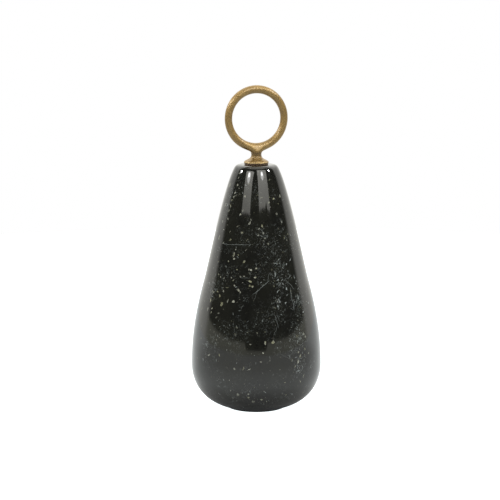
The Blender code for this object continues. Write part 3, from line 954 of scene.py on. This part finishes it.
def makeResin():
    made, tree, shader, place = newMaterial("curedAdhesive", **{"IOR": 1.5, "Subsurface Weight": 0.15})
    cloudy = masked(tree, mottling, place, Size=2.5, Contrast=1.0)
    bubbles = masked(tree, pitting, place, Size=0.3, Share=0.35)
    colour = mixColour(tree, cloudy, (0.36, 0.31, 0.21, 1), (0.24, 0.20, 0.12, 1))
    colour = mixColour(tree, times(tree, bubbles, 0.4), colour, (0.12, 0.10, 0.06, 1))
    rough = mixValue(tree, cloudy, 0.22, 0.40)
    relief = minus(tree, noiseAt(tree, place, 1.2, 3.0), times(tree, bubbles, 0.7))
    dress(tree, shader, colour, rough, relief, 0.00005, 0.6)
    return made


def makeAdhesive():
    n = adhesiveShape
    low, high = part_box("insert_adhesive")
    outer, inner = high.x + n["overlap"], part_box("threaded_insert")[1].x + n["gap"]
    floor = low.z + n["floor"]

    def settle(r, z, turn):
        # the top crept up both walls as it set, unevenly
        if z < high.z - n["creepHeight"]:
            return r, z
        return r, z + n["creep"] * noise.noise(Vector((3 * cos(turn), 3 * sin(turn), 0)))

    rim = high.z - n["rim"]
    wall = rim - n["lip"]
    outline = [(0, floor), (inner * 0.5, floor), (inner, floor)]
    outline += straight((inner, floor), (inner, wall), 10)
    for k in (0.05, 0.2, 0.4, 0.6, 0.8, 0.95):
        outline.append((inner + (outer - inner) * k, rim - n["dip"] * sin(pi * k)))
    outline += straight((outer, wall), (outer, low.z), 10) + [(0, low.z)]
    cup = turned("curedAdhesive", outline, n["sides"], makeResin(), settle)
    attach(cup, "weight")
    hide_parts("insert_adhesive")


makeAdhesive()
print("adhesive made")


# Washer under the flange

washerShape = {"hole": 0.0033, "bulge": 0.00010, "rounding": 0.00015, "sides": 96, "play": 0.00002}


def makeRubber():
    made, tree, shader, place = newMaterial("washerRubber", **{"IOR": 1.5})
    bloom = masked(tree, mottling, place, Size=3.0, Contrast=1.0)
    specks = masked(tree, pitting, place, Size=0.22, Share=0.5)
    colour = mixColour(tree, bloom, (0.085, 0.050, 0.026, 1), (0.125, 0.080, 0.048, 1))
    colour = mixColour(tree, times(tree, specks, 0.3), colour, (0.040, 0.024, 0.014, 1))
    rough = mixValue(tree, bloom, 0.55, 0.78)
    relief = minus(tree, noiseAt(tree, place, 4.0, 4.0, 0.6), times(tree, specks, 0.4))
    dress(tree, shader, colour, rough, relief, 0.00003, 0.6)
    return made


def makeWasher():
    w = washerShape
    outer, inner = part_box("flange_washer")[1].x, w["hole"]
    top, bottom = flangeZ - w["play"], stoneHigh + w["play"]
    middle, half, turnIn = (top + bottom) / 2, (top - bottom) / 2, w["rounding"]
    outline = [(inner + turnIn, top), (outer - turnIn, top)]
    for k in range(1, 12):
        angle = pi * k / 12
        side = outer - turnIn + (turnIn + w["bulge"]) * sin(angle)
        outline.append((side, middle + half * cos(angle)))
    outline += [(outer - turnIn, bottom), (inner + turnIn, bottom)]
    for k in range(1, 8):
        angle = pi * k / 8
        outline.append((inner + turnIn * (1 - sin(angle)), middle - half * cos(angle)))
    washer = turned("flangeWasher", outline, w["sides"], makeRubber(), closed=True)
    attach(washer, "washer")
    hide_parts("flange_washer")


makeWasher()
print("washer made")


# Felt pad under the foot

padShape = {"edge": 0.0004, "inset": 0.0001, "fuzz": 0.00006, "rings": 24, "sides": 192}


def makeFelt():
    made, tree, shader, place = newMaterial("felt", **{"Roughness": 0.95, "Sheen Weight": 0.4})
    matted = masked(tree, mottling, place, Size=4.0, Contrast=0.9)
    fibres = masked(tree, scratches, place, Length=2.4, Width=0.10, Amount=1.2)
    fine = masked(tree, scratches, place, Length=1.0, Width=0.05, Amount=1.4)
    colour = mixColour(tree, matted, (0.022, 0.017, 0.014, 1), (0.040, 0.032, 0.026, 1))
    colour = mixColour(tree, times(tree, fibres, 0.5), colour, (0.085, 0.070, 0.058, 1))
    rough = mixValue(tree, fibres, 0.98, 0.85)
    relief = plus(tree, noiseAt(tree, place, 2.2, 5.0, 0.7), times(tree, fibres, 0.5))
    relief = plus(tree, relief, times(tree, fine, 0.3))
    dress(tree, shader, colour, rough, relief, 0.00012, 0.9)
    return made


def makePad():
    p = padShape
    low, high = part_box("felt_pad")
    radius, top, edge = high.x - p["inset"], stoneLow, p["edge"]

    def fuzz(r, z, turn):
        # cut felt frays a little, most at its edge
        spot = Vector((r * cos(turn), r * sin(turn), z))
        rag = noise.noise(spot * 900) + 0.6 * noise.noise(spot * 2300)
        if r > radius - edge:
            return r + p["fuzz"] * rag, z
        if z < top - 1e-6:
            return r, max(z + 0.4 * p["fuzz"] * (1 + rag), low.z)
        return r, z

    rings = [radius * k / p["rings"] for k in range(1, p["rings"])]
    outline = [(0, top)] + [(r, top) for r in rings]
    outline += [(radius, top)] + straight((radius, top), (radius, low.z + edge), 5)
    outline += [(radius - edge * (1 - cos(a)), low.z + edge * (1 - sin(a))) for a in (0.5, 1.0, 1.4)]
    outline += [(r, low.z) for r in reversed(rings)] + [(0, low.z)]
    pad = turned("feltPad", outline, p["sides"], makeFelt(), fuzz, sharp=60.0)
    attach(pad, "weight")
    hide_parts("felt_pad")


makePad()
print("felt pad made")


# Studio: white floor and surroundings, dark in front, two softboxes with a bright spot each, and a
# small lamp at either side

studio = {
    "cameraTurn": -16.0,  # degrees from straight in front
    "cameraDistance": 1.100,
    "cameraHeight": 0.2962,
    "lens": 116.8,
    "aimSide": -0.0043,
    "aimHeight": 0.1093,
    "middle": 0.12,  # height of the middle of the object, which the lights face
    "floorRadius": 0.80,
    "floorSeen": 1.3,  # the floor's glow as the camera sees it, and as it lights the object
    "floorLight": 0.32,
    "floorBehind": 0.85,
    "floorNear": 0.38,
    "farFloor": (0.74, 0.74, 0.64),
    "low": (1.30, 1.29, 1.22),  # surroundings behind the object, near the floor and higher up
    "high": (2.40, 2.38, 2.26),
    "overhead": (1.90, 1.84, 1.64),
    "dark": (0.080, 0.078, 0.070),
    "cardDistance": 1.20,
    "cardTint": (1.0, 0.99, 0.92),
}


def aimAt(thing, target):
    thing.rotation_euler = (Vector(target) - thing.location).to_track_quat("-Z", "Y").to_euler()


def around(turn, elevation, distance):
    # a place round the object, its turn measured from the camera's side
    a, e = radians(studio["cameraTurn"] + turn), radians(elevation)
    flat = distance * cos(e)
    return Vector((flat * sin(a), -flat * cos(a), studio["middle"] + distance * sin(e)))


def makeCamera():
    s = studio
    camera = bpy.data.objects.new("camera", bpy.data.cameras.new("camera"))
    bpy.context.scene.collection.objects.link(camera)
    camera.data.lens = s["lens"]
    camera.data.sensor_width = 36.0
    a = radians(s["cameraTurn"])
    camera.location = (s["cameraDistance"] * sin(a), -s["cameraDistance"] * cos(a), s["cameraHeight"])
    aimAt(camera, (s["aimSide"] * cos(a), s["aimSide"] * sin(a), s["aimHeight"]))
    bpy.context.scene.camera = camera


def makeFloor():
    # white to the camera, and dimmer where it lights the object
    made, tree, shader, place = newMaterial(
        "paleFloor",
        **{
            "Base Color": (0.25, 0.25, 0.25, 1),
            "Roughness": 0.9,
            "Specular IOR Level": 0.0,
            "Emission Color": (0.92, 0.98, 1.0, 1),
        },
    )
    a = radians(studio["cameraTurn"])
    towards = vec(tree, "DOT_PRODUCT", place, (sin(a), -cos(a), 0))
    light = ease(tree, towards, -220, 20, studio["floorBehind"], studio["floorLight"])
    away = vec(tree, "LENGTH", place)
    light = plus(tree, light, ease(tree, away, 80, 300, studio["floorNear"], 0.0))
    # the glow fades to a tenth under and round the object's base: a painted shadow, seen in the object's
    # reflections
    light = times(tree, light, ease(tree, away, 30, 75, 0.1, 1.0))
    camera = put(tree, "LightPath").outputs["Is Camera Ray"]
    seen = mixValue(tree, camera, light, studio["floorSeen"])
    tree.links.new(seen, shader["Emission Strength"])
    size, sides = studio["floorRadius"], 96
    rim = [(size * cos(2 * pi * i / sides), size * sin(2 * pi * i / sides), 0) for i in range(sides)]
    floor = newPiece("floor", rim, [tuple(range(sides))], made)


def makeCard(name, corners, bottom, top):
    # a softbox: a glowing sheet, brighter towards its top, unseen by the camera
    made = bpy.data.materials.new(name)
    made.use_nodes = True
    tree = made.node_tree
    tree.nodes.clear()
    up = put(tree, "SeparateXYZ", {0: put(tree, "TexCoord").outputs["Generated"]}).outputs[2]
    glow = calc(tree, "MULTIPLY_ADD", up, top - bottom, bottom)
    emission = put(tree, "Emission", {"Color": (*studio["cardTint"], 1), "Strength": glow})
    output = put(tree, "OutputMaterial")
    tree.links.new(emission.outputs[0], output.inputs["Surface"])
    verts = [around(turn, elevation, studio["cardDistance"]) for turn, elevation in corners]
    card = newPiece(name, verts, [tuple(range(len(verts)))], made)
    card.visible_camera = False
    card.visible_shadow = False


def makeLamp(name, turn, elevation, distance, size, power):
    data = bpy.data.lights.new(name, "AREA")
    data.shape, data.size, data.energy = "DISK", size, power
    lamp = bpy.data.objects.new(name, data)
    bpy.context.scene.collection.objects.link(lamp)
    lamp.location = around(turn, elevation, distance)
    aimAt(lamp, (0, 0, studio["middle"]))
    lamp.visible_camera = False


def makeWorld():
    # White for the camera. For everything else the surroundings are bright behind the object and
    # overhead, and dark in front of it.
    s = studio
    world = bpy.data.worlds.new("studio")
    bpy.context.scene.world = world
    world.use_nodes = True
    tree = world.node_tree
    tree.nodes.clear()
    direction = put(tree, "TexCoord").outputs["Generated"]
    a = radians(s["cameraTurn"])
    towards = vec(tree, "DOT_PRODUCT", direction, (sin(a), -cos(a), 0))
    flat = vec(tree, "LENGTH", vec(tree, "MULTIPLY", direction, (1, 1, 0)))
    facing = over(tree, towards, most(tree, flat, 0.001))
    behind = ease(tree, facing, cos(radians(112)), cos(radians(98)), 1.0, 0.0)
    rise = put(tree, "SeparateXYZ", {0: direction}).outputs["Z"]
    climb = ease(tree, rise, sin(radians(16)), sin(radians(38)))
    above = ease(tree, rise, sin(radians(56)), sin(radians(66)))
    back = mixColour(tree, climb, (*s["low"], 1), (*s["high"], 1))
    # towards the camera the dark reaches a little lower than it does to the sides
    nearCamera = ease(tree, facing, cos(radians(21)), cos(radians(17)), sin(radians(2)), sin(radians(-1)))
    level = minus(tree, rise, nearCamera)
    under = ease(tree, level, sin(radians(-1)), sin(radians(0.6)), 1.0, 0.0)
    front = mixColour(tree, under, (*s["dark"], 1), (*s["farFloor"], 1))
    seen = mixColour(tree, behind, front, back)
    seen = mixColour(tree, above, seen, (*s["overhead"], 1))
    camera = put(tree, "LightPath").outputs["Is Camera Ray"]
    colour = mixColour(tree, camera, seen, (1, 1, 1, 1))
    output = put(tree, "OutputWorld")
    tree.links.new(put(tree, "Background", {"Color": colour}).outputs[0], output.inputs["Surface"])


# turn from the camera's side and elevation of each corner
leftCorners = ((-49, 18.7), (-21, 20.4), (-13, 45), (-57, 42))
rightCorners = ((9.5, 21.5), (30, 21.2), (35.5, 22.4), (38, 20.3), (47, 19.2), (58, 45), (2, 51))
# name, turn, elevation, distance, size, power
lamps = (
    ("spotLeft", -37.7, 38.5, 1.00, 0.11, 0.65),
    ("glowLeft", -37.0, 37.0, 1.03, 0.24, 0.90),
    ("spotRight", 30.3, 40.8, 1.00, 0.10, 0.50),
    ("glowRight", 30.0, 39.4, 1.03, 0.22, 0.75),
    ("lampLeft", -87, 33.7, 1.20, 0.10, 5),
    ("lampRight", 75, 39.0, 1.20, 0.10, 5),
)
makeCamera()
makeFloor()
makeCard("softboxLeft", leftCorners, 2.0, 4.6)
makeCard("softboxRight", rightCorners, 2.3, 5.2)
for lamp in lamps:
    makeLamp(*lamp)
makeWorld()
bpy.context.scene.view_settings.view_transform = "Standard"
print("studio made")
